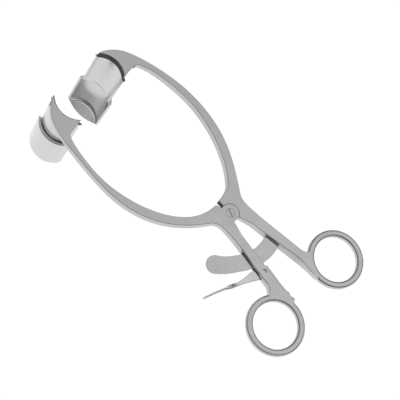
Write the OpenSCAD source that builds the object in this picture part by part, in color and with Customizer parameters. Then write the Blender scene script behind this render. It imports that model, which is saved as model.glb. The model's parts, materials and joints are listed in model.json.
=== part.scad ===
// Self-retaining rectal retractor with two fixed trough blades.
// The instrument is drawn flat, with the joint screw at the origin, the blades towards +X and
// the top of the frame at z = 0, and is then set down on its rings and blade tips.

/* [Frame] */
// Thickness of the arms
frame_t = 4.6; // [4:0.1:6]
// Distance from the joint to the widest point of the bows
bow_x = 71.5; // [62:0.5:80]
// Distance from the long axis to the outer edge of the right bow at its widest point
right_reach = 42.7; // [38:0.1:48]
// Distance from the long axis to the outer edge of the left bow at its widest point
left_reach = 43.7; // [38:0.1:48]
// Width of the right bow at its widest point
right_bow_w = 5.2; // [4.4:0.1:6]
// Width of the left bow at its widest point
left_bow_w = 4.3; // [3.6:0.1:5.2]
// Distance from the axis to the inner edge of a shank beside the joint
foot_y = 3.4; // [2.8:0.1:4]
// Width of the right shank beside the joint
right_foot_w = 8.3; // [7.4:0.1:9]
// Width of the left shank beside the joint
left_foot_w = 6.8; // [6.2:0.1:8]

/* [Joint] */
// Radius of the round cheeks of the lap joint
cheek_r = 5.7; // [5.2:0.1:6.4]
// Radius of the joint screw's shank
screw_r = 2; // [1.6:0.1:2.4]
// Radius of the joint screw's head
screw_head_r = 2.8; // [2.6:0.1:3.2]
// Height of the joint screw's head
screw_head_h = 1.3; // [1:0.1:1.6]
// Width of the screwdriver slot
screw_slot_w = 0.9; // [0.6:0.1:1.2]
// Depth of the screwdriver slot
screw_slot_d = 0.6; // [0.4:0.1:0.8]
// Distance from the joint to the tip of the closing stops
stop_reach = 10; // [9:0.1:11]
// Angle from the long axis to the right arm's closing stop
right_stop = 4.4; // [2:0.2:8]
// Angle from the long axis to the left arm's closing stop
left_stop = 14; // [10:0.2:16]

/* [Shanks and finger rings] */
// Distance along the axis from the joint to the centre of a finger ring
ring_x = 68.1; // [62:0.5:76]
// Distance from the axis to the centre of a finger ring
ring_y = 25.5; // [24:0.1:28]
// Radius of the finger hole
ring_hole_r = 14.4; // [12:0.1:15]
// Width of the ring's stock
ring_w = 4.3; // [3.6:0.1:5]
// Radius of the rounded corners of the ring's stock
ring_round = 1.5; // [1:0.1:1.7]
// Width of the right shank at its finger ring
right_shank_w = 7.5; // [6.6:0.1:8]
// Width of the left shank at its finger ring
left_shank_w = 6.8; // [6.2:0.1:7.6]
// Turn of the left shank away from the axis
left_splay = 7.3; // [4:0.1:9]

/* [Blades] */
// Distance from the joint to the middle of a blade
blade_x = 114.3; // [108:0.2:120]
// Distance from the axis to the blades' free edges at the frame
blade_y = 20.3; // [19:0.1:23]
// Width of a blade's neck between its free edges
neck_chord = 21.2; // [19:0.1:23]
// Depth of the neck's trough
neck_sagitta = 4.5; // [4:0.1:6]
// Length of the neck from the frame to the ledge
neck_len = 36.5; // [30:0.5:40]
// Width of a blade's end between its free edges
end_chord = 24.6; // [23.6:0.1:26]
// Depth of the end's trough
end_sagitta = 7; // [6.4:0.1:8]
// Length of a blade's end from the ledge to its floor
end_len = 40.5; // [36:0.5:46]
// Wall of the blades
blade_wall = 1.3; // [1:0.05:1.6]
// Inner radius of the turn from the end's wall to its floor
floor_round = 2; // [1.2:0.1:3]
// Height of the brazed seam between the frame and the neck
seam_h = 0.8; // [0.5:0.1:1.2]
// Lean of the blades away from the joint
lean_forward = 2.6; // [0:0.2:4]
// Lean of the blades' tips towards the long axis
lean_inward = 1; // [0:0.2:4]

/* [Ratchet bar] */
// Inner radius of the curved ratchet bar, about the joint
bar_in_r = 26; // [25:0.1:28]
// Width of the ratchet bar
bar_w = 10.3; // [9:0.1:11]
// Thickness of the ratchet bar
bar_t = 1.6; // [1.4:0.1:1.9]
// Angle of the bar's round end, from the axis behind the joint
bar_end = 66.4; // [60:0.2:72]
// Growth of the bar's outer radius over its free end
bar_flare = 2.9; // [1:0.1:3.5]
// Angle between two ratchet teeth
tooth_step = 1.8; // [1.4:0.1:2.4]
// Height of the ratchet teeth
tooth_h = 0.5; // [0.3:0.05:0.7]
// Number of ratchet teeth
tooth_count = 27; // [18:1:28]
// Distance from the top of the frame down to the ratchet bar
bar_drop = 1.8; // [1.5:0.1:2]
// Room under the bar in the left arm's slot
slot_gap = 0.2; // [0.15:0.05:0.4]
// Room over the bar in the left arm's slot
slot_head = 0.9; // [0.4:0.1:1]

/* [Release lever] */
// Distance from the bar's toothed edge to the lever pin
pin_room = 4.85; // [4.4:0.05:5.4]
// Distance from the long axis of an unturned shank to the lever pin
pin_y = 8.8; // [8.4:0.1:9.4]
// Radius of the lever pin
pin_r = 0.9; // [0.7:0.05:1.1]
// Radius of the lever's eye
eye_r = 2.2; // [1.9:0.1:2.4]
// Reach of the lever from its pin
lever_len = 42; // [36:0.5:46]
// Height of the thumb plate
thumb_h = 5; // [4:0.1:6]
// Thickness of the thumb plate
thumb_t = 1.1; // [0.8:0.05:1.5]

/* [Spring] */
// Thickness of the leaf spring
leaf_t = 1.2; // [0.8:0.05:1.4]
// Width of the leaf spring
leaf_w = 4; // [3:0.1:4.4]
// Radius of the spring screws' heads
leaf_screw_r = 1.4; // [1.1:0.1:1.6]
// Height of the spring screws' heads
leaf_screw_h = 0.8; // [0.5:0.1:1.2]
// Distance between the two spring screws
leaf_screw_step = 4.5; // [3.8:0.1:6]

/* [Fits] */
// Radial running clearance of the joint screw and the lever pin
run_gap = 0.05; // [0.02:0.01:0.09]
// Room between the faces of the lap joint
lap_gap = 0.05; // [0.03:0.01:0.1]
// Room round the cheeks in the lap joint
cheek_gap = 0.25; // [0.2:0.05:0.4]
// Room between the pawl and the teeth and between the spring and the pawl
touch_gap = 0.1; // [0.05:0.01:0.15]

/* [Hidden] */
$fn = 64;

steel = "silver";
polished = "gainsboro";
seam = "dimgray";

// Derived sizes
lap_z = -frame_t / 2;
ring_out_r = ring_hole_r + ring_w;
ring_mid_r = ring_hole_r + ring_w / 2;
bar_out_r = bar_in_r + bar_w;
bar_mid_r = bar_in_r + bar_w / 2;
slot_t = bar_t + slot_gap + slot_head;
bar_z = -bar_drop - bar_t / 2;
neck_r = neck_chord * neck_chord / 8 / neck_sagitta + neck_sagitta / 2;
neck_cy = blade_y + neck_sagitta - neck_r;
end_r = end_chord * end_chord / 8 / end_sagitta + end_sagitta / 2;
rim_near = blade_x - neck_chord / 2;
rim_far = blade_x + neck_chord / 2;
blade_depth = frame_t + seam_h + neck_len + end_len;
eps = 0.01;

// Plane geometry
function turned(p, a) = [p[0] * cos(a) - p[1] * sin(a), p[0] * sin(a) + p[1] * cos(a)];
function polar(r, a) = [r * cos(a), r * sin(a)];
function bezier(a, b, c, d, n) = [for (i = [0 : n - 1]) let (t = i / n, s = 1 - t)
    s * s * s * a + 3 * s * s * t * b + 3 * s * t * t * c + t * t * t * d];
function arc(c, r, a0, a1, n) = [for (i = [0 : n]) c + polar(r, a0 + (a1 - a0) * i / n)];
// A closed skin through a list of sections with equal numbers of points
module skin(sections) {
    n = len(sections[0]);
    m = len(sections);
    points = [for (s = sections, p = s) p];
    sides = [for (k = [0 : m - 2], i = [0 : n - 1], half = [0, 1]) let (j = (i + 1) % n)
        half == 0 ? [k * n + i, (k + 1) * n + j, k * n + j] : [k * n + i, (k + 1) * n + i, (k + 1) * n + j]];
    polyhedron(points, concat([[for (i = [0 : n - 1]) i]], [[for (i = [n - 1 : -1 : 0]) (m - 1) * n + i]], sides));
}

// Outline of an arm on the +Y side, counter-clockwise: shank, bow and blade web.
// The form is [turn of the shank, angle of the stop, widest point outside and inside, handle at the
// hub inside and outside, lead to the widest point inside and outside, foot width, shank width,
// near edge of the web]. A lead is the length of the curve's handle.
function arm_outline(form) = let (
    splay = form[0],
    stop = form[1],
    wide_out = form[2],
    wide_in = form[3],
    foot_out = foot_y + form[8],
    end_out = end_in + [0, form[9]],
    crotch = ring_c + polar(ring_out_r, -30),
    web_out = [blade_x - 1.4, blade_y + 14],
    web_in = [form[10] - 2.4, blade_y + 13],
    web_near = [form[10], blade_y + 8.4],
    hub_in = [2 * cheek_r + 0.4, 11.4],
    hub_out = [3.6, foot_out + 3.1])
    concat(
        // stop face, outside edge of the hub and inner edge of the bow
        [polar(cheek_r * 0.8, stop), polar(stop_reach, stop)],
        bezier(polar(stop_reach, stop) + [0.15, 0.8], [stop_reach + 0.1, 5], [stop_reach + 0.3, 8], hub_in, 5),
        bezier(hub_in, form[4], wide_in - [form[6], 0], wide_in, 20),
        bezier(wide_in, wide_in + [10, 0], web_in + [-8, 3.4], web_in, 9),
        // fillet into the web and near end of the rim
        bezier(web_in, web_in + [1.6, -0.8], web_near + [-0.2, 2.6], web_near, 5),
        bezier(web_near, web_near + [0.1, -3], [rim_near + 0.2, blade_y + 2.4], [rim_near - 0.4, blade_y - 0.9], 5),
        // rim of the web, the inside of the trough
        arc([blade_x, neck_cy], neck_r, 180 - rim_half, rim_half, 18),
        // outer edge of the web and of the bow
        bezier([rim_far + 0.3, blade_y - 0.9], [rim_far - 0.2, blade_y + 5.4], web_out + [6, -2.6], web_out, 10),
        bezier(web_out, web_out + [-9, 4.3], wide_out + [13, 0], wide_out, 10),
        bezier(wide_out, wide_out - [form[7], 0], form[5], hub_out, 22),
        // outer edge of the shank
        bezier(hub_out, [0.6, foot_out + 0.4], turned([-2, foot_out + 0.1], -splay / 2), turned([-8, foot_out], -splay), 5),
        [for (p = concat(
            bezier([-8, foot_out], [-20, foot_out], end_out + [12, -0.5], end_out, 6),
            bezier(end_out, end_out + [-2.6, 0.4], crotch + [1.3, -1.6], crotch, 5),
            arc(ring_c, ring_mid_r, -30, -84, 9),
            shank_in())) turned(p, -splay)],
        [turned([-cheek_r * 0.9, cheek_r * 0.3], -splay)]);
ring_c = [-ring_x, ring_y];
// Inner edge of a shank, from its tangent on the finger ring to the joint
ring_in = ring_c + polar(ring_out_r, -84);
end_in = [-0.69 * ring_x, ring_in[1] - 0.6];
function shank_in() = concat(
    bezier(ring_in, ring_in + [6, 0], end_in + [-7, 0.8], end_in, 5),
    bezier(end_in, end_in + [12, -1.1], [-20, foot_y + 0.9], [-8.6, foot_y - 0.1], 6));
function shank_in_y(x) = lookup(x, shank_in());
right_form = [0, right_stop, [bow_x, right_reach], [bow_x, right_reach - right_bow_w],
    [21, 24.2], [18.7, 27], 24.3, 35.8, right_foot_w, right_shank_w, blade_x - 9.9];
left_form = [left_splay, left_stop, [bow_x - 11.5, left_reach], [bow_x - 3.5, left_reach - left_bow_w],
    [18, 28.9], [14.9, 29.2], 22, 28.4, left_foot_w, left_shank_w, blade_x - 11.7];
rim_half = asin((blade_y - neck_cy) / neck_r);

// A finger ring with a cylindrical land inside
module finger_ring() {
    c = ring_round;
    profile = concat(
        [[ring_hole_r, -frame_t + c], [ring_hole_r, -c]],
        arc([ring_hole_r + c, -c], c, 180, 90, 4),
        arc([ring_out_r - c, -c], c, 90, 0, 4),
        arc([ring_out_r - c, -frame_t + c], c, 0, -90, 4),
        arc([ring_hole_r + c, -frame_t + c], c, -90, -175, 4));
    rotate_extrude() polygon(profile);
}

// The curved slab that the ratchet bar fills, grown by a clearance
module bar_slab(r0, r1, a0, a1, t) {
    translate([0, 0, bar_z - t / 2]) linear_extrude(t)
        polygon(concat(arc([0, 0], r0, a0, a1, 24), arc([0, 0], r1, a1, a0, 24)));
}

// Places a child that is drawn on the straight +Y shank onto the left shank
module on_left_shank() { mirror([0, 1, 0]) rotate(-left_splay) children(); }

bar_root = 165;
flare_start = 222;
first_tooth = 190;
slot_len = 24;
slot_in_r = bar_in_r - 0.6;
pin_x = sqrt(pow(bar_out_r + pin_room, 2) - pin_y * pin_y);
// Radius of the bar's outer or inner edge at an angle: round the joint in the slot, flared beyond
function flared(r, a, rise) = r + rise * max(0, a - flare_start) / (180 + bar_end - flare_start);
function bar_line(r, rise, a0, a1, n) = [for (i = [0 : n]) let (a = a0 + (a1 - a0) * i / n) polar(flared(r, a, rise), a)];

module arm_blank(form) {
    splay = form[0];
    difference() {
        translate([0, 0, -frame_t]) linear_extrude(frame_t) polygon(arm_outline(form));
        rotate(-splay) translate([-ring_x, ring_y, -frame_t - 1]) cylinder(r = ring_hole_r + 0.4, h = frame_t + 2);
    }
    rotate(-splay) translate([-ring_x, ring_y, 0]) finger_ring();
}

module right_arm() {
    color(steel) at_rest() difference() {
        union() {
            difference() {
                arm_blank(right_form);
                translate([0, 0, lap_z - lap_gap]) cylinder(r = cheek_r + cheek_gap, h = frame_t);
            }
            translate([0, 0, -frame_t]) cylinder(r = cheek_r, h = frame_t / 2 - lap_gap);
        }
        translate([0, 0, -frame_t - 1]) cylinder(r = screw_r, h = frame_t + 2);
        bar_slab(bar_in_r, bar_out_r, bar_root, 200, bar_t);
    }
}

module left_arm() {
    color(steel) at_rest() difference() {
        union() {
            difference() {
                mirror([0, 1, 0]) arm_blank(left_form);
                translate([0, 0, -frame_t - 1]) cylinder(r = cheek_r + cheek_gap, h = frame_t / 2 + 1 + lap_gap);
            }
            translate([0, 0, lap_z + lap_gap]) cylinder(r = cheek_r, h = frame_t / 2 - lap_gap);
        }
        translate([0, 0, -frame_t - 1]) cylinder(r = screw_r + run_gap, h = frame_t + 2);
        translate([0, 0, -screw_head_h - lap_gap]) cylinder(r = screw_head_r + run_gap, h = frame_t);
        // through slot for the bar and the pawl
        on_left_shank() difference() {
            translate([-pin_x - eye_r, 0, bar_z - bar_t / 2 - slot_gap]) cube([slot_len, 24, slot_t]);
            translate([0, 0, -frame_t]) cylinder(r = slot_in_r, h = frame_t);
        }
        on_left_shank() translate([-pin_x, pin_y, -frame_t - 1]) cylinder(r = pin_r, h = frame_t + 2);
    }
}

module joint_screw() {
    color(steel) at_rest() difference() {
        union() {
            translate([0, 0, -frame_t]) cylinder(r = screw_r, h = frame_t - screw_head_h + eps);
            translate([0, 0, -screw_head_h]) cylinder(r = screw_head_r, h = screw_head_h);
        }
        rotate(58) translate([-5, -screw_slot_w / 2, -screw_slot_d]) cube([10, screw_slot_w, 2]);
    }
}

// Saw teeth on the bar's outer edge, steep towards the free end
function bar_edge() = [for (i = [0 : tooth_count - 1], k = [0, 1]) let (
    a = first_tooth + (i + (k == 0 ? 0 : 0.85)) * tooth_step, r = flared(bar_out_r, a, bar_flare))
    polar(k == 0 ? r - tooth_h : r, a)];

module ratchet_bar() {
    tip = 180 + bar_end;
    teeth_end = first_tooth + tooth_count * tooth_step;
    in_rise = bar_flare * 0.62;
    end_r = (bar_w + bar_flare - in_rise) / 2;
    color(steel) at_rest() translate([0, 0, bar_z - bar_t / 2]) linear_extrude(bar_t)
        polygon(concat(
            arc([0, 0], bar_out_r, bar_root, first_tooth - 1, 8),
            bar_edge(),
            bar_line(bar_out_r, bar_flare, teeth_end + 1, tip, 3),
            arc(polar(bar_in_r + in_rise + end_r, tip), end_r, tip + 15, tip + 165, 12),
            bar_line(bar_in_r, in_rise, tip, bar_root, 24)));
}

module release_lever() {
    pin = [-pin_x, pin_y];
    nose_r = bar_out_r + touch_gap;
    nose_a = asin((shank_in_y(-pin_x) + 0.9) / nose_r);
    // the lever's direction, and the place where its flat root ends
    dir = 71.5;
    root = pin + [5.4, 18];
    tip = root + polar(lever_len - 19, dir);
    color(steel) at_rest() on_left_shank() difference() {
        union() {
            // pawl and flat root, between the slot's cheeks
            translate([0, 0, bar_z - bar_t / 2]) linear_extrude(bar_t) polygon(concat(
                arc(pin, eye_r, 165, 270, 8),
                [polar(nose_r + 1, 180 - nose_a), polar(nose_r, 180 - nose_a)],
                [polar(nose_r + 0.1, 180 - asin(pin_y / nose_r))],
                bezier(pin + [5, 3.8], pin + [5.6, 8], pin + [5, 14], root + [1.2, 0.4], 6),
                [root + [1.2, 0.4], root + [-1, 0.4]],
                bezier(root + [-1, 0.4], pin + [2.4, 12.5], pin + [-1.4, 6], pin + [-eye_r, 3.4], 6)));
            // the root turns upright into the thumb plate
            skin([for (i = [0 : 12]) let (
                u = i / 12,
                c = root - polar(2, dir) + (tip - root + polar(2, dir)) * u + [0.3, -0.1] * sin(180 * u),
                w = lerp(2.2, thumb_h, min(1, u / 0.5)) * (u > 0.96 ? 0.7 : 1))
                thumb_section(c, dir, w, lerp(bar_t, thumb_t, u), 90 * min(1, u / 0.45))]);
        }
        translate([-pin_x, pin_y, -frame_t]) cylinder(r = pin_r + run_gap, h = frame_t);
    }
}
function lerp(a, b, u) = a + (b - a) * u;
// A bevelled rectangle across the lever's direction, turned about that direction
function thumb_section(c, dir, w, h, twist) = let (b = min(w, h) * 0.25, across = [cos(dir + 90), sin(dir + 90)])
    [for (q = [[w / 2 - b, -h / 2], [w / 2, b - h / 2], [w / 2, h / 2 - b], [w / 2 - b, h / 2],
        [b - w / 2, h / 2], [-w / 2, h / 2 - b], [-w / 2, b - h / 2], [b - w / 2, -h / 2]])
        let (r = turned(q, twist)) [c[0] + across[0] * r[0], c[1] + across[1] * r[0], bar_z + r[1]]];

module lever_pin() {
    color(steel) at_rest() on_left_shank()
        translate([-pin_x, pin_y, -frame_t]) cylinder(r = pin_r, h = frame_t);
}

// The leaf spring lies along the shank's inner edge, from the pawl's tail to the ring
leaf_x = pin_x - 2;
leaf_len = ring_x - 4 - leaf_x;
module leaf_spring() {
    path = [for (i = [0 : 8]) let (x = -leaf_x - leaf_len * i / 8) [x, shank_in_y(x) - leaf_t]];
    color(steel) at_rest() on_left_shank() translate([0, 0, lap_z - leaf_w / 2]) linear_extrude(leaf_w)
        difference() {
            polygon(concat(path, [for (i = [8 : -1 : 0]) path[i] + [0, leaf_t + 1]]));
            polygon(arm_outline(concat([0], [for (i = [1 : 10]) left_form[i]])));
        }
}

module spring_screws() {
    color(steel) at_rest() on_left_shank() for (k = [0, 1])
        let (x = 8.7 - ring_x + k * leaf_screw_step - leaf_screw_step)
            translate([x, shank_in_y(x) - leaf_t + 0.1, lap_z]) rotate([90, 0, 0])
                cylinder(r = leaf_screw_r, h = leaf_screw_h + 0.1);
}

// Blade frame: origin at the middle of the rim's chord at the frame's underside
module at_blade() {
    translate([blade_x, blade_y, -frame_t]) rotate([0, -lean_forward, 0]) rotate([-lean_inward, 0, 0]) children();
}
module trough_sector(r, sagitta, wall, h) {
    translate([0, sagitta - r, -h]) linear_extrude(h) difference() {
        circle(r + wall);
        circle(r);
        translate([-2 * r, -2 * r]) square([4 * r, 2 * r + r - sagitta]);
    }
}

module neck() {
    at_blade() translate([0, 0, -seam_h]) trough_sector(neck_r, neck_sagitta, blade_wall, neck_len);
}

module blade_end() {
    out_r = end_r + blade_wall;
    shift = end_sagitta - end_r;
    cut = end_r - end_sagitta;
    profile = concat(
        [[0, -end_len], [out_r - floor_round - blade_wall, -end_len]],
        arc([end_r - floor_round, -end_len + blade_wall + floor_round], floor_round + blade_wall, -90, 0, 8),
        [[out_r, 0], [end_r - 3, 0], [end_r - 3, -blade_wall], [end_r, -blade_wall]],
        arc([end_r - floor_round, -end_len + blade_wall + floor_round], floor_round, 0, -90, 8),
        [[0, -end_len + blade_wall]]);
    at_blade() translate([0, shift, -seam_h - neck_len]) difference() {
        rotate_extrude() polygon(profile);
        translate([-2 * out_r, -4 * out_r + cut, -end_len - 1]) cube([4 * out_r, 4 * out_r, end_len + 2]);
        translate([0, neck_sagitta - neck_r - shift, -blade_wall - 1]) cylinder(r = neck_r, h = blade_wall + 2);
    }
}

module braze() {
    difference() {
        at_blade() translate([0, 0, 2]) trough_sector(neck_r + 0.3, neck_sagitta + 0.3, blade_wall - 0.3, seam_h + 2);
        translate([blade_x - 40, blade_y - 40, -frame_t]) cube([80, 80, 10]);
    }
}

module right_blade() { color(polished) at_rest() neck(); }
module left_blade() { color(polished) at_rest() mirror([0, 1, 0]) neck(); }
module right_blade_end() { color(polished) at_rest() blade_end(); }
module left_blade_end() { color(polished) at_rest() mirror([0, 1, 0]) blade_end(); }
module right_braze() { color(seam) at_rest() braze(); }
module left_braze() { color(seam) at_rest() mirror([0, 1, 0]) braze(); }

// Resting pose: the rings and the blade tips stand on z = 0
tip_near = blade_x - end_chord / 2 + blade_depth * sin(lean_forward);
rest_tilt = atan((blade_depth - frame_t) / (tip_near + ring_x + ring_out_r));
rest_lift = blade_depth * cos(rest_tilt) - tip_near * sin(rest_tilt);
tip_far = tip_near + end_chord;
rest_x = ((tip_far - ring_x - ring_out_r) * cos(rest_tilt) + blade_depth * sin(rest_tilt)) / 2;
left_ring_y = ring_x * sin(left_splay) + ring_y * cos(left_splay);
rest_y = (ring_y - left_ring_y) / 2;
module at_rest() { translate([-rest_x, -rest_y, rest_lift]) rotate([0, -rest_tilt, 0]) children(); }

right_arm();
left_arm();
joint_screw();
ratchet_bar();
release_lever();
lever_pin();
leaf_spring();
spring_screws();
right_blade();
left_blade();
right_blade_end();
left_blade_end();
right_braze();
left_braze();
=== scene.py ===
# The looks of a self-retaining rectal retractor in satin stainless steel.
import json
from math import cos, radians, sin
import bpy
import bmesh
from mathutils import Matrix, Vector


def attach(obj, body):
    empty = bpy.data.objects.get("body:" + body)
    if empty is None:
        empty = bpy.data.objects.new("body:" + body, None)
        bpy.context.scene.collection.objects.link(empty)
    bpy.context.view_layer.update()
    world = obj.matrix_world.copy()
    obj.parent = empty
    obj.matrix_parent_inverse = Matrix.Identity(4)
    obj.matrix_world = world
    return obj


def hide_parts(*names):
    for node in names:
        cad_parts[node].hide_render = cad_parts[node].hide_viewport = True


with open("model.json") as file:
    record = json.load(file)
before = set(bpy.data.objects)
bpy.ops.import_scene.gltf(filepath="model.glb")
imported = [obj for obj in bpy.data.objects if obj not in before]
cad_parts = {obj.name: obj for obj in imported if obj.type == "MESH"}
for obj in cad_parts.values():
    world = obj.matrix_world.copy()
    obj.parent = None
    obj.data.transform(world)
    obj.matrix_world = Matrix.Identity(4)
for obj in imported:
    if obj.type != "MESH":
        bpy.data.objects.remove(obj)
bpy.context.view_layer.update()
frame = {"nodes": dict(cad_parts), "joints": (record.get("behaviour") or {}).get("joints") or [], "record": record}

# The drawing frame of the instrument in metres: origin on the joint's axis in the top face of the
# frame, +X to the blades, +Y to the right arm. It lies tilted in the scene, as the CAD does.
HALF_THICKNESS = 0.0023
joint = next(j for j in frame["joints"] if j["name"] == "arm_joint")
up = Vector(joint["axis"]).normalized()
along = Vector((0, 1, 0)).cross(up)
DRAWN = Matrix((along, (0, 1, 0), up)).transposed().to_4x4()
DRAWN.translation = Vector(joint["pos_m"]) + up * HALF_THICKNESS
BACK = DRAWN.inverted()
TURN = BACK.to_3x3()

# Camera, fitted to the photograph's outline: its axes and its place in the drawing frame, then the
# side of the square picture, the focal length and the picture's offset in pixels
RIGHT = (-0.741225, 0.606862, 0.287261)
DOWN = (-0.671226, -0.680320, -0.294677)
FORWARD = (-0.016601, 0.411239, -0.911398)
EYE = (0.029143, -0.260729, 0.561542)
PICTURE, FOCAL, OFFSET = 400, 1022.555, 0.25
SENSOR = 36
camera = bpy.data.objects.new("camera", bpy.data.cameras.new("camera"))
bpy.context.collection.objects.link(camera)
camera.data.sensor_width = SENSOR
camera.data.lens = SENSOR * FOCAL / PICTURE
camera.data.shift_x = camera.data.shift_y = OFFSET / PICTURE
camera.data.clip_start = 0.01
# The CAD is the mirror image of the photographed instrument, so the camera's own X is mirrored
turn = Matrix((-Vector(RIGHT), -Vector(DOWN), -Vector(FORWARD))).transposed().to_4x4()
turn.translation = EYE
camera.location = (DRAWN @ turn).translation
camera.rotation_euler = (DRAWN @ turn).to_euler()
camera.scale = (-1, 1, 1)
bpy.context.scene.camera = camera
bpy.context.scene.view_settings.view_transform = "Standard"


def linear(hexa):
    """An sRGB colour such as B4B4B2 as the linear RGBA that a shader takes."""
    parts = [int(hexa[i:i + 2], 16) / 255 for i in (0, 2, 4)]
    return [c / 12.92 if c < 0.04045 else ((c + 0.055) / 1.055) ** 2.4 for c in parts] + [1]


def add(tree, kind, inputs=None, **settings):
    """A new node with its settings, and its inputs set to values or linked to other outputs."""
    new = tree.nodes.new(kind)
    for key, value in settings.items():
        setattr(new, key, value)
    for key, value in (inputs or {}).items():
        if isinstance(value, bpy.types.NodeSocket):
            tree.links.new(value, new.inputs[key])
        else:
            new.inputs[key].default_value = value
    return new


def noise(tree, place, size, detail):
    """Noise with grains of this size in metres."""
    inputs = {"Vector": place, "Scale": 1 / size, "Detail": detail}
    return add(tree, "ShaderNodeTexNoise", inputs).outputs[0]


def spread(tree, value, before, after, **settings):
    """A value moved from one range to another."""
    inputs = dict(enumerate((value, *before, *after)))
    return add(tree, "ShaderNodeMapRange", inputs, **settings).outputs[0]


def maths(tree, operation, *values):
    """The result of an operation on two or three values."""
    return add(tree, "ShaderNodeMath", dict(enumerate(values)), operation=operation).outputs[0]


def steel(name, dark, light, rough, grain, depth, cloud):
    """Bare stainless steel. grain is the size of the blasted or polished texture and depth its
    height; cloud is the size of the soft patches that handling and finishing leave. In metres."""
    uneven, middle_noise, strength = 0.05, (0.3, 0.7), 0.6
    factor, first, second, colour_out = 0, 6, 7, 2
    material = bpy.data.materials.new(name)
    material.use_nodes = True
    tree = material.node_tree
    tree.nodes.clear()
    place = add(tree, "ShaderNodeTexCoord").outputs["Object"]
    patches = noise(tree, place, cloud, 3)
    fine = noise(tree, place, grain, 2)
    colour = add(tree, "ShaderNodeMix", {factor: patches, first: linear(dark),
                                         second: linear(light)}, data_type="RGBA")
    gloss = spread(tree, patches, middle_noise, (rough - uneven, rough + uneven))
    bump = add(tree, "ShaderNodeBump", {"Height": fine, "Distance": depth, "Strength": strength})
    shader = add(tree, "ShaderNodeBsdfPrincipled", {
        "Base Color": colour.outputs[colour_out], "Metallic": 1.0, "Roughness": gloss,
        "Normal": bump.outputs[0]})
    add(tree, "ShaderNodeOutputMaterial", {"Surface": shader.outputs[0]})
    return material


# Fine glass-bead blasting: the eye reads an even, soft grey with no mirror image in it
SATIN = steel("glass-bead blasted stainless steel", "C4C4C3", "CDCDCC", 0.36,
              grain=0.0003, depth=0.00001, cloud=0.011)
# The same blasting on spring steel, a little brighter from the clear finish on thin stock
SPRING = steel("satin spring steel", "C2C2C0", "CDCCCA", 0.34,
               grain=0.00025, depth=0.00001, cloud=0.006)
# Fine polish inside and outside the blades: brighter, with soft broad reflections
POLISH = steel("fine satin polished stainless steel", "C8C8C8", "D2D2D2", 0.19,
               grain=0.0005, depth=0.000005, cloud=0.014)
# Edges broken on a buffing wheel: nearly a mirror, they show the dark horizon as thin dark lines, and their
# colour, darker than the other steel, is painted shade that deepens these lines
BUFFED_AND_SHADED = steel("buffed steel edge with painted shade", "A9A9A8", "B6B6B5", 0.2,
               grain=0.0004, depth=0.000004, cloud=0.009)
# The release lever is polished after forming: the brightest steel beside the blades
LEVER = steel("polished spring steel", "CFCFCD", "D9D9D7", 0.3,
              grain=0.0004, depth=0.000005, cloud=0.006)
# The blades' floors, nearly white with hardly any texture: painted light for the brightness that the blades' walls
# mirror onto them
FLOOR_PAINTED_LIGHT = steel("blade floor steel with painted light", "E8E8E8", "F2F2F2", 0.22,
                grain=0.0006, depth=0.000004, cloud=0.005)
# The brazed seams are dull and dark, and the same colour is painted shade: the shadow in the seams' gaps, in the
# hollow where each neck meets its arm's plate and on the stop's face
BRAZE_AND_PAINTED_SHADE = steel("brazing seam and painted shade", "3E3A36", "5A554F", 0.55,
              grain=0.0004, depth=0.00004, cloud=0.002)
# Material slots of a dressed piece after its own: its edges, and a third on some faces, which holds painted shade
# on the arms and painted light on the blades' floors
EDGE, THIRD = 1, 2

# The centre of the right arm's finger ring, and the X where an arm turns into its web, in
# millimetres of the drawing frame
RING = (-68.1, 25.5)
WEB = 104
# An edge is sharp where its faces part by more than this, in degrees
SHARP = 34


def body_name(node):
    bodies = frame["record"]["behaviour"]["bodies"]
    return next(b for b, nodes in bodies.items() if node in nodes)


def drawing_mm(point):
    """A point of the scene in millimetres of the drawing frame."""
    return BACK @ point * 1000


def from_ring(at):
    """How far a point of the drawing frame lies from the axis of its arm's finger ring."""
    return Vector((at.x - RING[0], abs(at.y) - RING[1])).length


def ramp(value, low, high):
    return min(1, max(0, (value - low) / (high - low)))


def paint(piece, material):
    piece.data.materials.clear()
    piece.data.materials.append(material)


def select(piece):
    bpy.ops.object.select_all(action="DESELECT")
    piece.select_set(True)
    bpy.context.view_layer.objects.active = piece


def apply(piece):
    """Applies every modifier of the piece."""
    select(piece)
    for modifier in list(piece.modifiers):
        bpy.ops.object.modifier_apply(modifier=modifier.name)


def smooth(piece, angle=35):
    select(piece)
    bpy.ops.object.shade_smooth_by_angle(angle=radians(angle))


def draw_flanks(shell):
    """Draws the top edge of an arm's forged flank inward, as the draft of the die leaves it: little
    at the joint, more toward the ring, and half as much beside the slot. It fades at the joint's
    boss, the ring, the bow's end and where the flank turns away. In millimetres."""
    at_joint, to_ring, at_bow, at_slot = 0.6, 1.6, 0.7, 0.5
    shank, bow_end, slot_near, slot_far = (9, 47), (-100, -92), (24, 29), (-51, -47)
    boss, border, facing = (7, 15), (19, 25), (0.2, 0.6)
    upright, top = 0.1, -0.05
    moves = []
    for vert in shell.verts:
        at = drawing_mm(vert.co)
        normals = [TURN @ face.normal for face in vert.link_faces]
        walls = [normal for normal in normals if abs(normal.z) < upright]
        if at.z < top or not walls:
            continue
        out = sum(walls, Vector()).normalized()
        if at.x < 0:
            depth = at_joint + to_ring * ramp(-at.x, *shank)
        else:
            depth = at_bow * ramp(-at.x, *bow_end)
        fade = ramp(at.xy.length, *boss) * ramp(from_ring(at), *border) * ramp(-out.y, *facing)
        depth *= fade
        if at.y < 0:
            depth *= 1 - at_slot * ramp(-at.x, *slot_near) * ramp(at.x, *slot_far)
        if depth > 0:
            moves.append((vert, DRAWN.to_3x3() @ out * (-depth / 1000)))
    for vert, move in moves:
        vert.co += move
    weigh_edges(shell)


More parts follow.
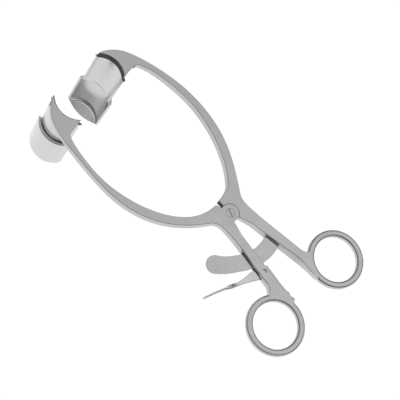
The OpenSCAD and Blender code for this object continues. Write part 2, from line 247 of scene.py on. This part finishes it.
def weigh_edges(shell):
    """Lets the bevel take the arms' long outer edges, and less of them at the joint. The slot, the
    bar's pocket, the lever's pin hole and the rings, which are rounded already, keep their own."""
    top, bottom, pin_border, ring_border, boss, away = -0.1, -4.5, 1.7, 19.3, 7.2, 0.3
    on_lip, on_boss, on_far, on_near = 1.0, 0.04, 0.3, 0.5
    weight = shell.edges.layers.float.new("bevel_weight_edge")
    pin_points = frame["nodes"]["lever_pin"].data.vertices
    pin = sum((drawing_mm(v.co).xy for v in pin_points), Vector((0, 0)))
    pin /= len(pin_points)
    for edge in shell.edges:
        at = [drawing_mm(v.co) for v in edge.verts]
        middle = (at[0] + at[1]) / 2
        outer = all(p.z > top or p.z < bottom for p in at)
        outer = outer and (middle.xy - pin).length > pin_border and from_ring(middle) > ring_border
        if edge.calc_face_angle(0) > radians(SHARP) and outer:
            far = sum((TURN @ face.normal).y for face in edge.link_faces) > away
            if far and middle.x > WEB and middle.y < 0:
                edge[weight] = on_lip
            elif middle.xy.length < boss:
                edge[weight] = on_boss
            else:
                edge[weight] = on_far if far else on_near


def paint_shade(piece):
    """Painted shade in the dark seam colour: on the web's inner wall, in the hollow where the neck meets the arm's
    plate, and on the face of the right arm's stop, which mirrors the wall across from it. In millimetres."""
    steep, inward, web_inside = 0.85, -0.2, 14
    stop_start, stop_end, stop_side, stop_steep, stop_facing = 5, 12, 3, 0.3, -0.5
    piece.data.materials.append(BRAZE_AND_PAINTED_SHADE)
    for face in piece.data.polygons:
        at, out = drawing_mm(face.center), TURN @ face.normal
        side = 1 if at.y > 0 else -1
        on_web = at.x > WEB and side * at.y > web_inside
        shaded_web = on_web and abs(out.z) < steep and side * out.y < inward
        on_stop = side == 1 and stop_start < at.x < stop_end and at.y < stop_side
        scale = on_stop and abs(out.z) < stop_steep and out.y < stop_facing
        if shaded_web or scale:
            face.material_index = THIRD


def buff_rings(piece):
    """The rings' rounded borders are buffed like the other edges and take their painted shade."""
    outside, low, high = 20, 0.25, 0.95
    for face in piece.data.polygons:
        slope = abs((TURN @ face.normal).z)
        if from_ring(drawing_mm(face.center)) < outside and low < slope < high:
            face.material_index = EDGE


def blade_frame(side):
    """The frame of a blade in the drawing frame, as the CAD leans it: side is 1 for the right."""
    place, forward, outward = (0.1143, 0.0203, -0.0046), radians(-2.6), radians(-1)
    lean = Matrix.Translation(place) @ Matrix.Rotation(forward, 4, "Y")
    lean = lean @ Matrix.Rotation(outward, 4, "X")
    return DRAWN @ Matrix.Diagonal((1, side, 1, 1)) @ lean


def slim_neck(shell):
    """The neck's lips are dressed back by half a millimetre each, 6 percent of its width."""
    kept = 0.94
    for vert in shell.verts:
        place = blade_frame(1 if (BACK @ vert.co).y > 0 else -1)
        at = place.inverted() @ vert.co
        at.x *= kept
        vert.co = place @ at


def broken_edges(node, material, width, segments=2, angle=SHARP, shape=None):
    """A copy of a CAD node with its sharp edges rounded, as the real piece is deburred."""
    weld, flat, large_faces = 0.000002, 0.05, 100
    piece = bpy.data.objects.new(node + "_dressed", frame["nodes"][node].data.copy())
    bpy.context.collection.objects.link(piece)
    shell = bmesh.new()
    shell.from_mesh(piece.data)
    bmesh.ops.remove_doubles(shell, verts=shell.verts, dist=weld)
    bmesh.ops.dissolve_limit(shell, angle_limit=radians(flat), verts=shell.verts,
                             edges=shell.edges)
    bmesh.ops.recalc_face_normals(shell, faces=shell.faces)
    if shape:
        shape(shell)
    shell.to_mesh(piece.data)
    shell.free()
    edge = piece.modifiers.new("deburred", "BEVEL")
    edge.width = width
    edge.segments = segments
    edge.limit_method = "WEIGHT" if shape is draw_flanks else "ANGLE"
    edge.angle_limit = radians(angle)
    edge.use_clamp_overlap = False
    paint(piece, material)
    # Every broken edge takes the darker buffed steel: painted shade along the edges
    piece.data.materials.append(BUFFED_AND_SHADED)
    edge.material = EDGE
    apply(piece)
    smooth(piece)
    even = piece.modifiers.new("flat faces", "WEIGHTED_NORMAL")
    even.weight = large_faces
    even.keep_sharp = True
    apply(piece)
    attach(piece, body_name(node))
    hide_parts(node)
    return piece


def melt(piece):
    """Runs the facets of a bent and twisted strip into one smooth skin, as polishing does."""
    skin = piece.modifiers.new("skin", "REMESH")
    skin.mode = "VOXEL"
    skin.voxel_size = 0.0002
    soft = piece.modifiers.new("soft", "SMOOTH")
    soft.iterations = 8
    soft.factor = 0.5
    apply(piece)
    smooth(piece, 60)


def blade_piece(name, kind, verts, faces, side):
    """A new piece from points of a blade's frame, with every face turned outward."""
    mesh = bpy.data.meshes.new(kind)
    mesh.from_pydata(verts, [], faces)
    mesh.transform(blade_frame(side))
    piece = bpy.data.objects.new(name, mesh)
    bpy.context.collection.objects.link(piece)
    shell = bmesh.new()
    shell.from_mesh(mesh)
    bmesh.ops.recalc_face_normals(shell, faces=shell.faces)
    shell.to_mesh(mesh)
    shell.free()
    return piece


def floor_lip(side, body):
    """The turned-in floor of a blade ends in a curved lip past the chord of its wall. Metres."""
    half, reach, thick, root, steps = 0.0113, 0.0026, 0.0011, 0.0006, 24
    neck_top, neck_length, end_length, inset = -0.0008, 0.0365, 0.0405, 0.0002
    low = neck_top - neck_length - end_length + inset
    turns = [i / steps * 2 - 1 for i in range(steps + 1)]
    rim = [(half * t, -reach * (1 - t * t)) for t in turns]
    inner = [(half * t, root) for t in turns]
    verts = [(x, y, low + z) for z in (0, thick) for x, y in rim + inner]
    row, layer = len(rim), len(rim + inner)
    faces = []
    for a in range(steps):
        b, c, d = a + 1, row + a + 1, row + a
        faces += [(a, d, c, b), (a + layer, b + layer, c + layer, d + layer),
                  (a, b, b + layer, a + layer)]
    lip = blade_piece(f"{body}_floor_lip", "floor lip", verts, faces, side)
    # Nearly white like the blade's floor: painted light
    paint(lip, FLOOR_PAINTED_LIGHT)
    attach(lip, body)


def seam_fillet(side, body):
    """The brazed seam round the neck where it enters the wider end; its dark colour is also painted shade for the
    shadow in the seam's gap. In millimetres.
    """
    centre, out, step, sweep, steps = -10.23, 16.0, -37.3, 46, 40
    section = ((0, 0), (0.45, 0), (0.3, 0.12), (0, 0.4))
    count = len(section)
    verts, faces = [], []
    for i in range(steps + 1):
        turn = radians(-sweep + 2 * sweep * i / steps)
        verts += [(sin(turn) * (out + r) / 1000, (centre + cos(turn) * (out + r)) / 1000,
                   (step + z) / 1000) for r, z in section]
    for start in range(0, count * steps, count):
        pairs = [(start + k, start + (k + 1) % count) for k in range(count)]
        faces += [(a, b, b + count, a + count) for a, b in pairs]
    last = count * steps
    faces += [tuple(reversed(range(count))), tuple(range(last, last + count))]
    fillet = blade_piece(f"{body}_seam_fillet", "seam fillet", verts, faces, side)
    paint(fillet, BRAZE_AND_PAINTED_SHADE)
    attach(fillet, body)


# How wide the edges are broken: forged arms, sheet blades, the leaf spring, the screws' heads and
# the small steel
ARM_EDGE, BLADE_EDGE, SPRING_EDGE, HEAD_EDGE, FINE_EDGE = 0.0008, 0.0003, 0.00012, 0.0002, 0.0001
# A blade's floor is the faces that look up and lie below this level of the drawing frame, in metres
FLOOR_FACING, FLOOR_LEVEL = 0.8, -0.06
# In degrees: how far the screw's slot is turned from the CAD's, and what is sharp on the lever
SCREW_TURN, LEVER_SHARP = -31, 50

for node in ("right_arm", "left_arm"):
    arm = broken_edges(node, SATIN, ARM_EDGE, shape=draw_flanks)
    buff_rings(arm)
    paint_shade(arm)
for node in ("right_blade_end", "left_blade_end"):
    end = broken_edges(node, POLISH, BLADE_EDGE)
    # The blade ends' upward floor faces take the nearly white steel: painted light for what the walls mirror onto
    # them
    end.data.materials.append(FLOOR_PAINTED_LIGHT)
    for face in end.data.polygons:
        if (TURN @ face.normal).z > FLOOR_FACING and (BACK @ face.center).z < FLOOR_LEVEL:
            face.material_index = THIRD
for node in ("right_blade", "left_blade"):
    broken_edges(node, POLISH, BLADE_EDGE, shape=slim_neck)
for side, body in ((1, "right"), (-1, "left")):
    floor_lip(side, body)
    seam_fillet(side, body)
screw = broken_edges("joint_screw", SATIN, FINE_EDGE, 1)
screw.data.transform(DRAWN @ Matrix.Rotation(radians(SCREW_TURN), 4, "Z") @ BACK)
broken_edges("ratchet_bar", SPRING, FINE_EDGE, 1)
melt(broken_edges("release_lever", LEVER, FINE_EDGE, 1, LEVER_SHARP))
broken_edges("leaf_spring", SPRING, SPRING_EDGE)
broken_edges("spring_screws", SPRING, HEAD_EDGE)
# The lever's pin is satin steel; the CAD's braze pieces, in the hollow where each neck meets its arm's plate, take
# the dark seam colour as painted shade
for node, material in (("lever_pin", SATIN), ("right_braze", BRAZE_AND_PAINTED_SHADE), ("left_braze", BRAZE_AND_PAINTED_SHADE)):
    paint(frame["nodes"][node], material)

# A pale floor that the camera sees as white paper, with a faint shadow left in it: the share of its
# own light that the camera and mirroring steel see, and how bright that light is
GLOW_SHARE, GLOW = 0.72, 1.27
bpy.ops.mesh.primitive_plane_add(size=6)
floor = bpy.context.object
floor.name = "floor"
paper = bpy.data.materials.new("white studio paper")
paper.use_nodes = True
tree = paper.node_tree
tree.nodes.clear()
path = add(tree, "ShaderNodeLightPath").outputs
lit = add(tree, "ShaderNodeBsdfDiffuse", {"Color": linear("F6F6F6")}).outputs[0]
glow = add(tree, "ShaderNodeEmission", {"Color": linear("FFFFFF"), "Strength": GLOW}).outputs[0]
mirrored = maths(tree, "MULTIPLY", path["Is Glossy Ray"], GLOW_SHARE)
share = maths(tree, "MULTIPLY_ADD", path["Is Camera Ray"], GLOW_SHARE, mirrored)
both = add(tree, "ShaderNodeMixShader", dict(enumerate((share, lit, glow))))
add(tree, "ShaderNodeOutputMaterial", {"Surface": both.outputs[0]})
paint(floor, paper)

# A studio tent that is dark at the horizon and bright overhead, so that faces and edges part:
# height above the horizon, from 0 to 1, and brightness
TENT = ((0.0, 0.04), (1.0, 0.72), (0.25, 0.06), (0.5, 0.28), (0.75, 0.64), (0.9, 0.72))
world = bpy.data.worlds.new("tent")
bpy.context.scene.world = world
world.use_nodes = True
tree = world.node_tree
tree.nodes.clear()
sky = add(tree, "ShaderNodeTexCoord").outputs["Generated"]
way = add(tree, "ShaderNodeSeparateXYZ", {0: sky}).outputs
shade = add(tree, "ShaderNodeFloatCurve", {"Value": way["Z"]})
curve = shade.mapping.curves[0]
for spot, (at, value) in zip(curve.points, TENT[:2]):
    spot.location = (at, value)
for at, value in TENT[2:]:
    curve.points.new(at, value)
shade.mapping.update()
# A black flag stands low on the blades' side and darkens what mirrors it: where it starts and is
# full along X and in height, and how much light it takes
FLAG_ALONG, FLAG_HEIGHT, FLAG_DARK = (0.2, 0.8), (0.7, 0.3), 0.85
beside = spread(tree, way["X"], FLAG_ALONG, (0.0, FLAG_DARK), interpolation_type="SMOOTHSTEP")
low = spread(tree, way["Z"], FLAG_HEIGHT, (0.0, 1.0), interpolation_type="SMOOTHSTEP")
open_part = maths(tree, "SUBTRACT", 1.0, maths(tree, "MULTIPLY", beside, low))
bright = maths(tree, "MULTIPLY", shade.outputs[0], open_part)
tent = add(tree, "ShaderNodeBackground", {"Color": linear("FFFFFF"), "Strength": bright})
add(tree, "ShaderNodeOutputWorld", {"Surface": tent.outputs[0]})

# A soft round light high above the rings, on the right arm's side and aimed at the joint: its place
# in the drawing frame, in metres, its diameter and its power in watts
LAMP_PLACE, LAMP_SIZE, LAMP_POWER = (-0.45, 0.5, 1.1), 0.9, 0.7
lamp = bpy.data.objects.new("overhead", bpy.data.lights.new("overhead", "AREA"))
bpy.context.collection.objects.link(lamp)
lamp.data.shape = "DISK"
lamp.data.size = LAMP_SIZE
lamp.data.energy = LAMP_POWER
lamp.location = DRAWN @ Vector(LAMP_PLACE)
lamp.rotation_euler = (DRAWN.translation - lamp.location).to_track_quat("-Z", "Y").to_euler()
